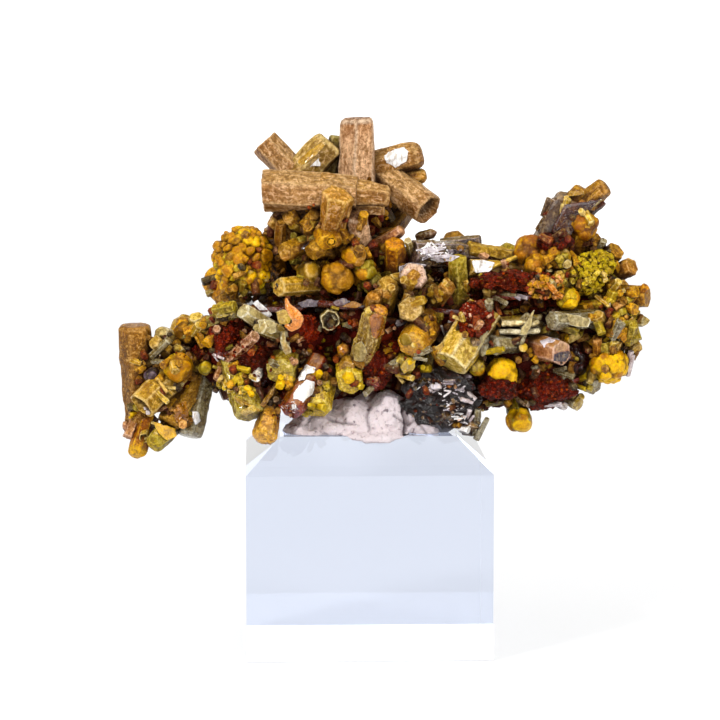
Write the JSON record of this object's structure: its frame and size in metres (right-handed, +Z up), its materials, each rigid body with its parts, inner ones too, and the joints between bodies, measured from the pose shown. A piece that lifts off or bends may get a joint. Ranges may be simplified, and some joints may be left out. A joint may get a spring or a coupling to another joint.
{
  "type": "pyromorphite with barite specimen on a clear display block",
  "caption": "Cluster of brown, olive and yellow pyromorphite prisms with dark barite blades, seated in putty on a clear bevelled square display block.",
  "frame": {"origin": "centre of the display block's base", "axes": "+Z up, the specimen's show side faces -Y, +X to the viewer's right"},
  "size_m": [0.0707, 0.0341, 0.069],
  "materials": {
    "specimen": null,
    "putty": "matt putty, finger pressed",
    "clear_acrylic": "polished clear acrylic"
  },
  "bodies": {
    "root": {"specimen": "specimen", "putty": "putty", "acrylic_block": "clear_acrylic"}
  },
  "joints": []
}
